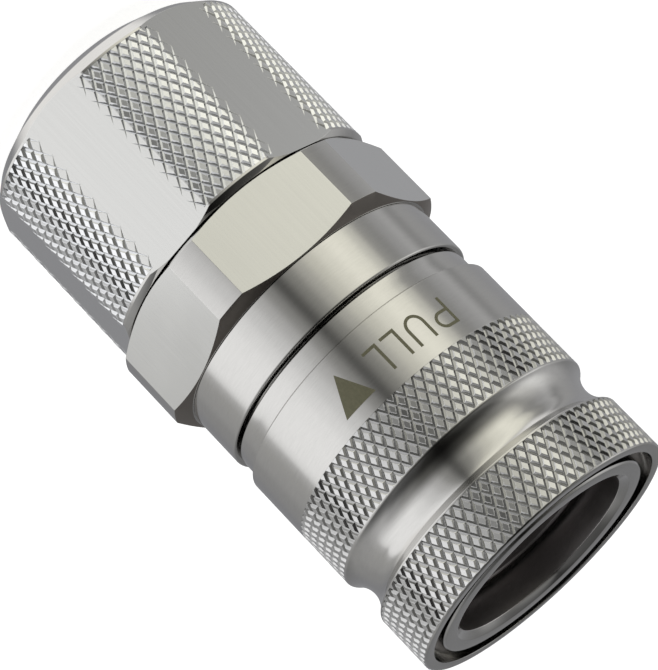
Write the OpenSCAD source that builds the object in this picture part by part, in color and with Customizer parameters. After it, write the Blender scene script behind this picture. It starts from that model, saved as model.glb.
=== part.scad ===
// Socket half of a no-spill liquid cooling quick coupling, with a compression nut for soft tube.
// Millimetres. The coupling stands on the flat rear end of its nut, at Z = 0, and its axis is Z.
// The socket opens upward. The sleeve is drawn pulled back and held there, ready for a plug.

/* [Knurl] */
// Spacing of the knurl ridges, measured square to them
knurl_pitch = 0.8; // [0.6:0.1:1.2]
// Angle of the knurl ridges from the axis
knurl_angle = 30; // [20:1:40]
// Height of the knurl points above the grooves
knurl_depth = 0.25; // [0.1:0.05:0.35]

/* [Compression nut] */
// Wall of the nut outside its thread
nut_wall = 2.4; // [2:0.1:3.4]
// Depth of the six spanner flats below the knurl
nut_flat_depth = 0.5; // [0.3:0.05:0.9]
// Length of the nut
nut_len = 17.9; // [16:0.1:22]
// Width of the flat rear end that the coupling stands on, outside the tube hole
nut_end_width = 0.7; // [0.5:0.05:1.6]
// Length of the cone on the rear end
nut_cone_len = 1.35; // [0.5:0.05:2]
// Chamfer between the rear cone and the knurl
nut_rear_chamfer = 1.3; // [0.5:0.05:2]
// Chamfer at the front of the nut
nut_front_chamfer = 0.4; // [0.2:0.05:0.8]
// How far the nut is turned from the hexagon of the body, in degrees
nut_turn = 28.5; // [0:0.5:60]
// Smooth band left between the knurl and each end
nut_land = 0.2; // [0.1:0.05:1]
// Chamfer round the mouth of the tube hole
nut_mouth = 0.2; // [0.1:0.05:0.3]

/* [Tube end] */
// Outside diameter of the tube that the nut clamps
tube_d = 16; // [14:0.1:16.3]
// Inside diameter of the same tube
tube_bore_d = 10; // [8:0.1:11]
// Clearance round the tube in the nut
tube_clearance = 0.2; // [0.1:0.05:0.3]
// Length of the plain hole that guides the tube
tube_land_len = 3.7; // [2:0.1:3.8]
// Extra room round the tube where the barb swells it
tube_swell = 0.7; // [0.5:0.05:1]
// Depth of the barb tip inside the nut
barb_recess = 4.2; // [3:0.1:6]
// Number of ridges on the barb
barb_ridges = 3; // [1:1:5]
// Height of a barb ridge over the tube bore
barb_height = 0.6; // [0.3:0.1:1]
// Wall of the barb at its root
barb_wall = 1; // [0.7:0.1:1.4]
// Depth of the collar outside the tube
collar_depth = 2; // [1.6:0.1:2.4]
// Length of the threaded collar
thread_len = 7.6; // [5:0.1:8.5]
// Gap between nut and flange when the nut is tight
nut_gap = 0.2; // [0.1:0.05:0.5]

/* [Hexagon flange] */
// How far the wide flats stand out over the shoulder
hex_proud = 0.2; // [0.1:0.05:1.5]
// How far the turned corners stand out over the flats
hex_corner_proud = 1.15; // [0.8:0.05:1.7]
// Length of the flange along the axis
hex_len = 7.1; // [6.4:0.1:12]
// How far the round end faces stay inside the flats
hex_face_inset = 0.05; // [0.05:0.05:0.5]
// Slope of the corner chamfers from the end faces
hex_chamfer_angle = 30; // [15:1:45]

/* [Socket body] */
// How far the shoulder stands out over the nose
shoulder_proud = 1.8; // [1.3:0.1:1.9]
// Length of the shoulder
shoulder_len = 4.4; // [3:0.1:8]
// Radius of the shoulder's front edge
shoulder_round = 0.7; // [0.2:0.05:1]
// Wall of the nose that the sleeve slides on
nose_wall = 1.9; // [1.7:0.05:2.05]
// How far the nose's face lies behind the sleeve's front edge
nose_inset = 0.05; // [0:0.05:0.3]
// Bore that the plug enters
bore_d = 16.2; // [15.8:0.1:16.4]
// Width of the mouth chamfer on the face
mouth_width = 0.6; // [0.3:0.05:1]
// Depth of the mouth chamfer
mouth_depth = 0.45; // [0.2:0.05:1]
// Depth of the relief groove behind the mouth
relief_depth = 0.4; // [0.3:0.05:0.7]
// Step from the bore out to the chamber behind the ball keeper
chamber_step = 0.8; // [0.7:0.05:0.9]
// Wall of the threaded spigot that screws into the flange
spigot_wall = 1; // [0.8:0.05:1.2]
// Length of the spigot
spigot_len = 4.3; // [3.6:0.1:4.8]

/* [Locking balls] */
// Number of locking balls
ball_count = 8; // [4:1:8]
// Ball diameter
ball_d = 2.5; // [2.2:0.1:2.6]
// Depth of the ball row behind the nose face
ball_depth = 5.8; // [5.7:0.1:6.6]
// How far each ball moves inward to lock
ball_travel = 0.6; // [0.4:0.05:0.7]
// Play between a ball and what guides it
ball_play = 0.03; // [0.02:0.01:0.05]

/* [Release sleeve] */
// Height of the smooth band over the nose
sleeve_height = 2; // [1.9:0.05:3]
// Gap between the shoulder and the pulled-back sleeve
sleeve_gap = 0.25; // [0.15:0.05:0.5]
// Depth of the rear cone below the smooth band
sleeve_cone_depth = 0.85; // [0.5:0.05:0.9]
// Length of the rear cone
sleeve_cone_len = 2.25; // [1:0.05:3]
// Length of the smooth band
smooth_len = 5.7; // [4:0.1:8]
// Length of the rear knurl band
rear_knurl_len = 4.85; // [4:0.05:6]
// Width of the finger groove
groove_width = 4.2; // [3:0.1:5]
// Depth of the finger groove
groove_depth = 0.97; // [0.3:0.01:1]
// Radius of the finger groove's two edges
groove_edge = 0.75; // [0.2:0.05:0.85]
// Length of the front knurl band
front_knurl_len = 4.7; // [4:0.05:7]
// Chamfer at the front edge
lip_chamfer = 0.15; // [0.1:0.05:0.5]
// Wall of the front lip
lip_wall = 0.95; // [0.85:0.05:1.05]
// Depth of the front recess at the lip diameter
lip_depth = 2.5; // [1:0.1:3]
// Wall outside the recess that the balls move out into
recess_wall = 1.15; // [1.05:0.05:1.2]
// Wall outside the rear chamber that holds the sleeve spring
sleeve_chamber_wall = 1.05; // [1:0.025:1.1]
// Length of the land that covers the balls when locked
land_len = 2.9; // [1.5:0.1:4]
// Forward travel of the sleeve from held back to locked
sleeve_travel = 2.2; // [1.5:0.1:2.4]

/* [Ball keeper] */
// Rearward travel of the keeper as a plug enters
keeper_travel = 1.6; // [1.2:0.1:2]
// Wall of the keeper
keeper_wall = 1.3; // [1.15:0.05:1.35]
// Length of the plain tip in front of the keeper's cone
keeper_tip_len = 0.7; // [0.3:0.1:1]
// Length of the keeper's stop collar
keeper_collar_len = 2; // [1:0.1:2.4]
// Depth of the keeper's stop behind the nose face
keeper_stop_depth = 10.1; // [9.6:0.1:11]

/* [Valve] */
// Gap between the valve sleeve and the keeper
valve_gap = 0.15; // [0.1:0.05:0.35]
// Wall of the valve sleeve at its seat
valve_seat_wall = 1.4; // [1.2:0.1:1.6]
// Wall of the valve sleeve behind the seat
valve_wall = 1; // [0.8:0.05:1.1]
// Length of the valve sleeve
valve_len = 17.5; // [15:0.1:18]
// Depth of the valve face behind the nose face
valve_depth = 4.65; // [4.2:0.05:6]
// Length of the seat in the valve sleeve
valve_seat_len = 5; // [4:0.1:7]
// Rearward travel of the valve sleeve
valve_travel = 5.5; // [3:0.1:5.8]
// Length of the collar that stops the valve sleeve
valve_collar_len = 1.5; // [0.8:0.1:2]
// Height of the same collar over the sleeve
valve_collar_step = 0.7; // [0.4:0.05:0.9]
// Length of the land that guides the valve sleeve
guide_land_len = 3; // [2.6:0.1:3.4]
// Diameter of the stem
stem_d = 4; // [3:0.1:5]
// Gap between the stem's head and the seat
stem_head_gap = 0.2; // [0.1:0.05:0.4]
// Length of the stem's head
stem_head_len = 2.6; // [2.2:0.1:3.6]
// Diameter of the stem's threaded tail
stem_tail_d = 3; // [2:0.1:3.5]
// Thickness of the spider that carries the stem
spider_len = 1.8; // [1.2:0.1:2]
// Width of the spider's ledge inside the valve bore, where the valve spring stands
spider_ledge = 0.8; // [0.5:0.05:1.1]
// Number of arms on the spider
spider_arms = 3; // [3:1:6]
// Width of a spider arm
spider_arm_w = 2.2; // [1:0.1:3]
// Size across the flats of the stem's nut
stem_nut_flats = 5.5; // [5:0.1:7]
// Thickness of the stem's nut
stem_nut_len = 2; // [1.5:0.1:3]
// Width of the water passage round the stem's nut
passage_width = 2.2; // [1.5:0.1:2.6]

/* [Springs and seals] */
// Wire of the sleeve spring
sleeve_wire = 0.7; // [0.5:0.05:0.75]
// Turns of the sleeve spring
sleeve_turns = 6; // [4:1:8]
// Wire of the keeper spring
keeper_wire = 0.8; // [0.5:0.05:0.9]
// Turns of the keeper spring
keeper_turns = 4; // [3:1:6]
// Wire of the valve spring
valve_wire = 0.8; // [0.5:0.05:0.9]
// Turns of the valve spring
valve_turns = 8; // [5:1:10]
// Cord of the O-rings on the stem and the valve sleeve
seal_cord = 1.2; // [1:0.05:1.3]
// Cord of the O-ring between flange and socket body
body_cord = 1; // [0.8:0.05:1.1]
// Cord of the seal in the valve face
face_cord = 0.8; // [0.6:0.05:0.9]
// Thickness of the sleeve's retaining ring
ring_len = 0.8; // [0.6:0.05:1]
// How far the retaining ring stands out over the nose
ring_height = 0.7; // [0.5:0.05:0.75]
// Opening of the retaining ring, in degrees
ring_split = 16; // [6:1:30]
// Depth of the ring's groove in the nose
ring_groove_depth = 0.5; // [0.3:0.05:0.8]

/* [Hidden] */
$fn = 96;

// Fits. Sliding fits are radial, seats are the face-to-face gaps between clamped pieces.
slide_fit = 0.05;
seat_fit = 0.02;
thread_fit = 0.1;
bury = 0.06;       // how far the ends of a knurled skin go into the plain metal beside it
skin = 0.5;        // thickness of a knurled skin
core_drop = 0.03;  // how far the plain core lies below the knurl grooves

// Diameters at the tube end, from the tube outward
tube_hole_d = tube_d + 2 * tube_clearance;
thread_d = tube_d + 2 * collar_depth;
nut_bore_d = thread_d + 2 * thread_fit;
nut_d = nut_bore_d + 2 * nut_wall;
nut_flats = nut_d - 2 * nut_flat_depth;
nut_end_d = tube_hole_d + 2 * nut_end_width;

// Diameters of the socket, from the plug's bore outward
nose_d = bore_d + 2 * nose_wall;
mouth_d = bore_d + 2 * mouth_width;
relief_d = bore_d + 2 * relief_depth;
chamber_d = bore_d + 2 * chamber_step;
spigot_d = chamber_d + 2 * spigot_wall;
ring_d = nose_d + 2 * ring_height;
shoulder_d = nose_d + 2 * shoulder_proud;
hex_flats = shoulder_d + 2 * hex_proud;
hex_corner_d = hex_flats + 2 * hex_corner_proud;
hex_face_d = hex_flats - 2 * hex_face_inset;
sleeve_d = nose_d + 2 * sleeve_height;
sleeve_rear_d = sleeve_d - 2 * sleeve_cone_depth;
sleeve_chamber_d = sleeve_d - 2 * sleeve_chamber_wall;
recess_d = sleeve_d - 2 * recess_wall;
lip_bore_d = sleeve_d - 2 * lip_wall;

// Diameters inside the bore, from the keeper inward
keeper_d = bore_d - 2 * slide_fit;
keeper_bore_d = keeper_d - 2 * keeper_wall;
valve_d = keeper_bore_d - 2 * valve_gap;
valve_bore_d = valve_d - 2 * valve_wall;
valve_seat_d = valve_d - 2 * valve_seat_wall;
stem_head_d = valve_seat_d - 2 * stem_head_gap;
spider_d = chamber_d;
spider_hole_d = valve_bore_d - 2 * spider_ledge;

// Heights along the axis
hex_z = nut_len + nut_gap;
shoulder_z = hex_z + hex_len;
neck_z = shoulder_z + shoulder_len;
collar_z = hex_z - thread_len;
sleeve_z = neck_z + sleeve_gap;
knurl1_z = sleeve_z + sleeve_cone_len + smooth_len;
groove_z = knurl1_z + rear_knurl_len;
knurl2_z = groove_z + groove_width;
lip_z = knurl2_z + front_knurl_len + lip_chamfer;
nose_z = lip_z - nose_inset;
ball_z = nose_z - ball_depth;
valve_z = nose_z - valve_depth;
valve_rear_z = valve_z - valve_len;

// Ramps: the sleeve's inner ramp and the keeper's nose follow the balls at a constant play
ball_r0 = bore_d / 2 + ball_d / 2 + 0.02;   // ball centre, moved out
ramp_slope = ball_travel / sleeve_travel;
nose_slope = ball_travel / keeper_travel;
ramp_r = ball_r0 + (ball_d / 2 + ball_play) * sqrt(1 + ramp_slope * ramp_slope);
keeper_r = ball_r0 - (ball_d / 2 + ball_play) * sqrt(1 + nose_slope * nose_slope);
land_r = nose_d / 2 + slide_fit;
keeper_nose_len = keeper_travel + 0.45;
land_z = ball_z - (ramp_r - land_r) / ramp_slope;
land_rear_z = land_z - land_len;
ring_z = ball_z + sleeve_travel + 0.15 + (ring_d / 2 - ramp_r) / ramp_slope;
keeper_face_z = ball_z + keeper_nose_len + keeper_tip_len;
keeper_stop_z = nose_z - keeper_stop_depth;
keeper_rear_z = keeper_stop_z - seat_fit - keeper_collar_len;

// Valve parts, from the spider at the rear to the guide's front face
spigot_z = shoulder_z - spigot_len;
spider_z = spigot_z - seat_fit - spider_len;
valve_stop_z = valve_rear_z + valve_collar_len + seat_fit;
guide_z = valve_stop_z + guide_land_len;
seat_z = valve_z - valve_seat_len;

steel = [0.74, 0.74, 0.72];
dark_steel = [0.55, 0.55, 0.54];
rubber = [0.12, 0.12, 0.12];

// An arc in the profile plane, as points
function arc(c, r, a0, a1, n = 6) =
    [for (i = [0:n]) c + r * [cos(a0 + (a1 - a0) * i / n), sin(a0 + (a1 - a0) * i / n)]];

// Turned shapes: a washer or tube, and a ring of round section
module tube(d_out, d_in, z0, z1) {
    rotate_extrude() translate([d_in / 2, z0]) square([(d_out - d_in) / 2, z1 - z0]);
}
module o_ring(r, z, cord) {
    rotate_extrude() translate([r, z]) circle(d = cord, $fn = 32);
}

// ---- Diamond knurl ----
// Ridge count that keeps the pitch on a diameter, and the rows of points that fit in a length
function knurl_count(d) = 2 * round(PI * d * cos(knurl_angle) / knurl_pitch / 2);
function knurl_rows(len) = max(2, round(len * sin(knurl_angle) * 2 / knurl_pitch));

// Faces of a knurled ring: outer grid split along the grooves, flat ends and a plain inside
function at(j, k, count) = j * count + k % count;
function ring_faces(rows, count) =
    let (inner = (rows + 1) * count, last = count - 1)
    concat(
        [for (j = [0:rows - 1]) for (k = [0:last])
            (j + k) % 2 == 0
                ? [at(j, k, count), at(j + 1, k, count), at(j, k + 1, count)]
                : [at(j, k, count), at(j + 1, k, count), at(j + 1, k + 1, count)]],
        [for (j = [0:rows - 1]) for (k = [0:last])
            (j + k) % 2 == 0
                ? [at(j + 1, k, count), at(j + 1, k + 1, count), at(j, k + 1, count)]
                : [at(j, k, count), at(j + 1, k + 1, count), at(j, k + 1, count)]],
        [for (k = [0:last]) [at(0, k, count), at(0, k + 1, count),
                             inner + (k + 1) % count, inner + k]],
        [for (k = [0:last]) [at(rows, k + 1, count), at(rows, k, count),
                             inner + count + k, inner + count + (k + 1) % count]],
        [for (k = [0:last]) [inner + k, inner + (k + 1) % count,
                             inner + count + (k + 1) % count, inner + count + k]]);

function polar(r, a, z) = [r * cos(a), r * sin(a), z];
function row_z(j, rows, z0, z1) =
    j == 0 ? z0 - bury : j == rows ? z1 + bury : z0 + (z1 - z0) * j / rows;

// A knurled ring from z0 to z1 with its points at diameter d
module knurl_ring(d, z0, z1) {
    count = 2 * knurl_count(d);
    rows = knurl_rows(z1 - z0);
    crest = d / 2 - 0.04;
    root = d / 2 - knurl_depth;
    points = concat(
        [for (j = [0:rows]) for (k = [0:count - 1])
            polar((j + k) % 2 == 0 ? crest : root, k * 360 / count, row_z(j, rows, z0, z1))],
        [for (z = [z0 - bury, z1 + bury]) for (k = [0:count - 1])
            polar(root - skin, k * 360 / count, z)]);
    polyhedron(points, ring_faces(rows, count), convexity = 6);
}

// ---- Springs ----
// A wire wound on a helix: section points and closed ends, with the first and last turn flat
// The centre line's chords lie half inside and half outside the true circle.
module coil(mean_r, wire, z0, z1, turns, sides = 6, steps = 14) {
    n = turns * steps;
    r = mean_r * (1 + 1 / cos(180 / steps)) / 2;
    rise = z1 - z0 - wire;
    points = [for (i = [0:n]) for (s = [0:sides - 1])
        let (a = i * 360 / steps, t = i / n,
             z = z0 + wire / 2 + rise * min(1, max(0, (t * turns - 0.5) / (turns - 1))),
             b = s * 360 / sides)
        polar(r + wire / 2 * cos(b), a, z + wire / 2 * sin(b))];
    faces = concat(
        [[for (s = [0:sides - 1]) s], [for (s = [sides - 1:-1:0]) n * sides + s]],
        [for (i = [0:n - 1]) for (s = [0:sides - 1])
            [i * sides + s, (i + 1) * sides + s, i * sides + (s + 1) % sides]],
        [for (i = [0:n - 1]) for (s = [0:sides - 1])
            [(i + 1) * sides + s, (i + 1) * sides + (s + 1) % sides, i * sides + (s + 1) % sides]]);
    polyhedron(points, faces, convexity = 10);
}

// ---- Tube end ----
module hexagon(flats, z0, z1, turn = 0) {
    rotate(turn) translate([0, 0, z0]) cylinder(d = flats / cos(30), h = z1 - z0, $fn = 6);
}

nut_knurl_z0 = nut_cone_len + nut_rear_chamfer + nut_land;
nut_knurl_z1 = nut_len - nut_front_chamfer - nut_land;
swell_r = tube_hole_d / 2 + tube_swell;
throat_z = collar_z - 2.3;

// Turned and knurled all round first, then milled with six spanner flats
module compression_nut() {
    core_r = nut_d / 2 - knurl_depth - core_drop;
    color(steel) difference() {
        intersection() {
            union() {
                rotate_extrude() polygon([
                    [0, 0], [nut_end_d / 2, 0],
                    [nut_d / 2 - nut_rear_chamfer, nut_cone_len],
                    [nut_d / 2, nut_cone_len + nut_rear_chamfer],
                    [nut_d / 2, nut_knurl_z0], [core_r, nut_knurl_z0],
                    [core_r, nut_knurl_z1], [nut_d / 2, nut_knurl_z1],
                    [nut_d / 2, nut_len - nut_front_chamfer],
                    [nut_d / 2 - nut_front_chamfer, nut_len], [0, nut_len]]);
                knurl_ring(nut_d, nut_knurl_z0, nut_knurl_z1);
            }
            hexagon(nut_flats, -1, nut_len + 1, nut_turn);
        }
        // Tube hole with its mouth, clamping cone and the threaded bore
        rotate_extrude() polygon([
            [0, -1], [tube_hole_d / 2 + nut_mouth + 1, -1], [tube_hole_d / 2, nut_mouth],
            [tube_hole_d / 2, nut_mouth + tube_land_len],
            [swell_r, nut_mouth + tube_land_len + tube_swell], [swell_r, throat_z],
            [nut_bore_d / 2, throat_z + nut_bore_d / 2 - swell_r],
            [nut_bore_d / 2, nut_len - 0.4], [nut_bore_d / 2 + 0.4, nut_len],
            [nut_bore_d / 2 + 0.4, nut_len + 1], [0, nut_len + 1]]);
    }
}

// Turned blank of the flange, cut to a hexagon
module flange_blank() {
    drop = (hex_corner_d - hex_face_d) / 2 * tan(hex_chamfer_angle);
    intersection() {
        rotate_extrude() polygon([
            [0, hex_z], [hex_face_d / 2, hex_z], [hex_corner_d / 2, hex_z + drop],
            [hex_corner_d / 2, shoulder_z - drop], [hex_face_d / 2, shoulder_z],
            [0, shoulder_z]]);
        hexagon(hex_flats, hex_z - 1, shoulder_z + 1);
    }
}

barb_z = barb_recess;
barb_bore_d = tube_bore_d - 2 * barb_wall;
passage_d = stem_nut_flats / cos(30) + 2 * passage_width;
spider_seat_d = spider_d + 2 * slide_fit;
spigot_hole_d = spigot_d + 2 * thread_fit;
body_seal_d = spigot_d + 2 * body_cord + 4 * seat_fit;

// Barb, threaded collar and hexagon flange, turned from one bar
module hex_adapter() {
    ridge = (collar_z - barb_z - 0.6) / barb_ridges;
    root_r = tube_bore_d / 2;
    cone = passage_d / 2 - barb_bore_d / 2;
    color(steel) difference() {
        union() {
            rotate_extrude() polygon(concat(
                [[0, barb_z]],
                [for (i = [0:barb_ridges - 1]) for (step = [0:2])
                    [[root_r - (i == 0 ? 0.4 : 0), barb_z + i * ridge],
                     [root_r + barb_height, barb_z + (i + 0.8) * ridge],
                     [root_r, barb_z + (i + 0.85) * ridge]][step]],
                [[root_r, collar_z], [thread_d / 2 - 0.5, collar_z],
                 [thread_d / 2, collar_z + 0.5], [thread_d / 2, hex_z + 0.1],
                 [0, hex_z + 0.1]]));
            flange_blank();
        }
        // Water passage, widened round the stem's nut, then the seats of spider, spigot and seal
        rotate_extrude() polygon([
            [0, barb_z - 1], [barb_bore_d / 2, barb_z - 1],
            [barb_bore_d / 2, spider_z - stem_nut_len - 1 - cone],
            [passage_d / 2, spider_z - stem_nut_len - 1],
            [passage_d / 2, spider_z - seat_fit], [spider_seat_d / 2, spider_z - seat_fit],
            [spider_seat_d / 2, spigot_z - seat_fit], [spigot_hole_d / 2, spigot_z - seat_fit],
            [spigot_hole_d / 2, shoulder_z - body_cord - 2 * seat_fit],
            [body_seal_d / 2, shoulder_z - body_cord - 2 * seat_fit],
            [body_seal_d / 2, shoulder_z + 1], [0, shoulder_z + 1]]);
    }
}

module body_seal() {
    color(rubber)
        o_ring(spigot_d / 2 + seat_fit + body_cord / 2, shoulder_z - body_cord / 2 - seat_fit,
               body_cord);
}

// ---- Socket body ----
ball_hole_d = ball_d + 2 * ball_play;
ring_groove_d = nose_d - 2 * ring_groove_depth;

module at_balls() {
    for (i = [0:ball_count - 1])
        rotate((i + 0.5) * 360 / ball_count) translate([0, 0, ball_z]) children();
}

module socket_body() {
    relief_z = ball_z + ball_hole_d / 2 + 0.2;
    color(steel) difference() {
        rotate_extrude() polygon(concat(
            [[chamber_d / 2, spigot_z], [spigot_d / 2 - 0.3, spigot_z],
             [spigot_d / 2, spigot_z + 0.3], [spigot_d / 2, shoulder_z + seat_fit],
             [shoulder_d / 2, shoulder_z + seat_fit]],
            arc([shoulder_d / 2 - shoulder_round, neck_z - shoulder_round], shoulder_round, 0, 90),
            [[nose_d / 2, neck_z], [nose_d / 2, ring_z - seat_fit],
             [ring_groove_d / 2, ring_z - seat_fit], [ring_groove_d / 2, ring_z + ring_len + seat_fit],
             [nose_d / 2, ring_z + ring_len + seat_fit],
             [nose_d / 2, nose_z - 0.15], [nose_d / 2 - 0.15, nose_z],
             [mouth_d / 2, nose_z], [bore_d / 2, nose_z - mouth_depth],
             [bore_d / 2, keeper_face_z + slide_fit], [relief_d / 2, keeper_face_z + slide_fit],
             [relief_d / 2, relief_z], [bore_d / 2, relief_z],
             [bore_d / 2, keeper_stop_z], [chamber_d / 2, keeper_stop_z]]));
        at_balls() translate([bore_d / 2 - 1, 0, 0]) rotate([0, 90, 0])
            cylinder(d = ball_hole_d, h = nose_d / 2 - bore_d / 2 + 2, $fn = 48);
    }
}

// ---- Valve ----
head_r = stem_head_d / 2;
groove_r = valve_seat_d / 2 - 0.03 - seal_cord - seat_fit;   // floor of the stem's seal groove
seal_z = valve_z - stem_head_len / 2;
seal_slot = seal_cord / 2 + 0.1;                             // half the width of a seal groove

module valve_stem() {
    tail_z = spider_z - stem_nut_len - 0.5;
    color(steel) rotate_extrude() polygon([
        [0, tail_z], [stem_tail_d / 2 - 0.3, tail_z], [stem_tail_d / 2, tail_z + 0.3],
        [stem_tail_d / 2, spigot_z - seat_fit], [stem_d / 2, spigot_z - seat_fit],
        [stem_d / 2, valve_z - stem_head_len - (head_r - stem_d / 2) / 2],
        [head_r, valve_z - stem_head_len], [head_r, seal_z - seal_slot],
        [groove_r, seal_z - seal_slot], [groove_r, seal_z + seal_slot],
        [head_r, seal_z + seal_slot], [head_r, valve_z - 0.1], [head_r - 0.1, valve_z],
        [0, valve_z]]);
}

module stem_seal() {
    color(rubber) o_ring(groove_r + seat_fit + seal_cord / 2, seal_z, seal_cord);
}

// Disc with an open centre, whose arms hold the hub that the stem is bolted to
module stem_spider() {
    hub_d = stem_d + 1.4;
    z1 = spigot_z - 2 * seat_fit;
    color(dark_steel) difference() {
        union() {
            tube(spider_d, spider_hole_d, spider_z, z1);
            translate([0, 0, spider_z]) cylinder(d = hub_d, h = z1 - spider_z);
            for (i = [0:spider_arms - 1])
                rotate(i * 360 / spider_arms + 30) translate([0, -spider_arm_w / 2, spider_z])
                    cube([spider_hole_d / 2 + 0.5, spider_arm_w, z1 - spider_z]);
        }
        translate([0, 0, spider_z - 1])
            cylinder(d = stem_tail_d + 2 * slide_fit, h = spider_len + 2, $fn = 48);
    }
}

module stem_nut() {
    z1 = spider_z - seat_fit;
    color(steel) difference() {
        hexagon(stem_nut_flats, z1 - stem_nut_len, z1);
        translate([0, 0, z1 - stem_nut_len - 1])
            cylinder(d = stem_tail_d + 2 * slide_fit, h = stem_nut_len + 2, $fn = 48);
    }
}

guide_d = valve_d + 2 * slide_fit;
valve_collar_d = valve_d + 2 * valve_collar_step;
guide_seal_z = (valve_stop_z + guide_z) / 2;
guide_groove_r = valve_d / 2 + 0.03 + seal_cord + seat_fit;

// Bush that guides the valve sleeve and seals on it; the keeper spring stands on its front
module valve_guide() {
    bore_r = valve_collar_d / 2 + 0.1;
    outer_r = chamber_d / 2 - slide_fit;
    color(dark_steel) rotate_extrude() polygon([
        [bore_r, spigot_z], [outer_r, spigot_z], [outer_r, guide_z], [guide_d / 2, guide_z],
        [guide_d / 2, guide_seal_z + seal_slot], [guide_groove_r, guide_seal_z + seal_slot],
        [guide_groove_r, guide_seal_z - seal_slot], [guide_d / 2, guide_seal_z - seal_slot],
        [guide_d / 2, valve_stop_z], [bore_r, valve_stop_z]]);
}

module valve_sleeve_seal() {
    color(rubber) o_ring(guide_groove_r - seat_fit - seal_cord / 2, guide_seal_z, seal_cord);
}

face_seal_r = (valve_d + valve_seat_d) / 4;
face_seal_z = valve_z - face_cord / 2 + 0.1;

module valve_sleeve() {
    collar_top = valve_rear_z + valve_collar_len;
    slot = face_cord / 2 + seat_fit;
    floor_z = face_seal_z - slot;
    color(steel) rotate_extrude() polygon([
        [valve_bore_d / 2, valve_rear_z], [valve_collar_d / 2, valve_rear_z],
        [valve_collar_d / 2, collar_top], [valve_d / 2, collar_top],
        [valve_d / 2, valve_z - 0.1], [valve_d / 2 - 0.1, valve_z],
        [face_seal_r + slot, valve_z], [face_seal_r + slot, floor_z],
        [face_seal_r - slot, floor_z], [face_seal_r - slot, valve_z],
        [valve_seat_d / 2 + 0.1, valve_z], [valve_seat_d / 2, valve_z - 0.1],
        [valve_seat_d / 2, seat_z], [valve_bore_d / 2, seat_z]]);
}

module face_seal() {
    color(rubber) o_ring(face_seal_r, face_seal_z, face_cord);
}

module valve_spring() {
    color(dark_steel)
        coil(valve_bore_d / 2 - 0.05 - valve_wire / 2, valve_wire, spigot_z + seat_fit,
             seat_z - seat_fit, valve_turns);
}

// ---- Ball keeper ----
// Stands behind the balls while the socket is empty, and holds them out
module ball_keeper() {
    bore_r = keeper_bore_d / 2;
    outer_r = keeper_d / 2;
    cone_z = ball_z - (outer_r - keeper_r) / nose_slope;
    tip_r = keeper_r - nose_slope * keeper_nose_len;
    collar_r = chamber_d / 2 - 2 * slide_fit;
    color(dark_steel) rotate_extrude() polygon([
        [bore_r, keeper_rear_z], [collar_r, keeper_rear_z],
        [collar_r, keeper_rear_z + keeper_collar_len],
        [outer_r, keeper_rear_z + keeper_collar_len], [outer_r, cone_z],
        [tip_r, ball_z + keeper_nose_len], [tip_r, keeper_face_z - 0.1],
        [tip_r - 0.1, keeper_face_z], [bore_r + 0.1, keeper_face_z],
        [bore_r, keeper_face_z - 0.1]]);
}

module keeper_spring() {
    color(dark_steel)
        coil(chamber_d / 2 - 0.1 - keeper_wire / 2, keeper_wire, guide_z + seat_fit,
             keeper_rear_z - seat_fit, keeper_turns);
}

module locking_ball(i) {
    if (i <= ball_count)
        color(steel) rotate((i - 0.5) * 360 / ball_count) translate([ball_r0, 0, ball_z])
            sphere(d = ball_d, $fn = 48);
}

// ---- Release sleeve ----
sleeve_r = sleeve_d / 2;
groove_mid_z = groove_z + groove_width / 2;
groove_floor_r =
    (pow(groove_width / 2, 2) + pow(groove_depth, 2)) / 2 / groove_depth - groove_edge;

// Finger groove: two rounded edges joined by a hollow that meets them smoothly
function groove_points() =
    let (half = groove_width / 2, rise = groove_floor_r - groove_depth,
         turn = atan2(half, rise + groove_edge))
    concat(
        arc([sleeve_r - groove_edge, groove_mid_z - half], groove_edge, 0, turn, 5),
        arc([sleeve_r + rise, groove_mid_z], groove_floor_r, 180 + turn, 180 - turn, 14),
        arc([sleeve_r - groove_edge, groove_mid_z + half], groove_edge, -turn, 0, 5));

module release_sleeve() {
    core_r = sleeve_r - knurl_depth - core_drop;
    recess_z = ball_z + (recess_d / 2 - ramp_r) / ramp_slope;
    color(steel) union() {
        rotate_extrude() polygon(concat(
            [[sleeve_chamber_d / 2, sleeve_z], [sleeve_rear_d / 2, sleeve_z],
             [sleeve_r, sleeve_z + sleeve_cone_len], [sleeve_r, knurl1_z],
             [core_r, knurl1_z], [core_r, groove_z]],
            groove_points(),
            [[core_r, knurl2_z], [core_r, lip_z - lip_chamfer],
             [sleeve_r, lip_z - lip_chamfer], [sleeve_r - lip_chamfer, lip_z],
             [lip_bore_d / 2, lip_z], [lip_bore_d / 2, lip_z - lip_depth],
             [recess_d / 2, lip_z - lip_depth], [recess_d / 2, recess_z],
             [land_r, land_z], [land_r, land_rear_z],
             [sleeve_chamber_d / 2, land_rear_z]]));
        knurl_ring(sleeve_d, knurl1_z, groove_z);
        knurl_ring(sleeve_d, knurl2_z, lip_z - lip_chamfer);
    }
}

module sleeve_spring() {
    color(dark_steel)
        coil((nose_d + sleeve_chamber_d) / 4, sleeve_wire, neck_z + seat_fit,
             land_rear_z - seat_fit, sleeve_turns, 6, 24);
}

// Split ring in the nose's groove; the sleeve's ramp stops on it
module retaining_ring() {
    color(dark_steel) rotate([0, 0, ring_split / 2]) rotate_extrude(angle = 360 - ring_split)
        translate([ring_groove_d / 2 + seat_fit, ring_z])
            square([(ring_d - ring_groove_d) / 2 - seat_fit, ring_len]);
}

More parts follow.
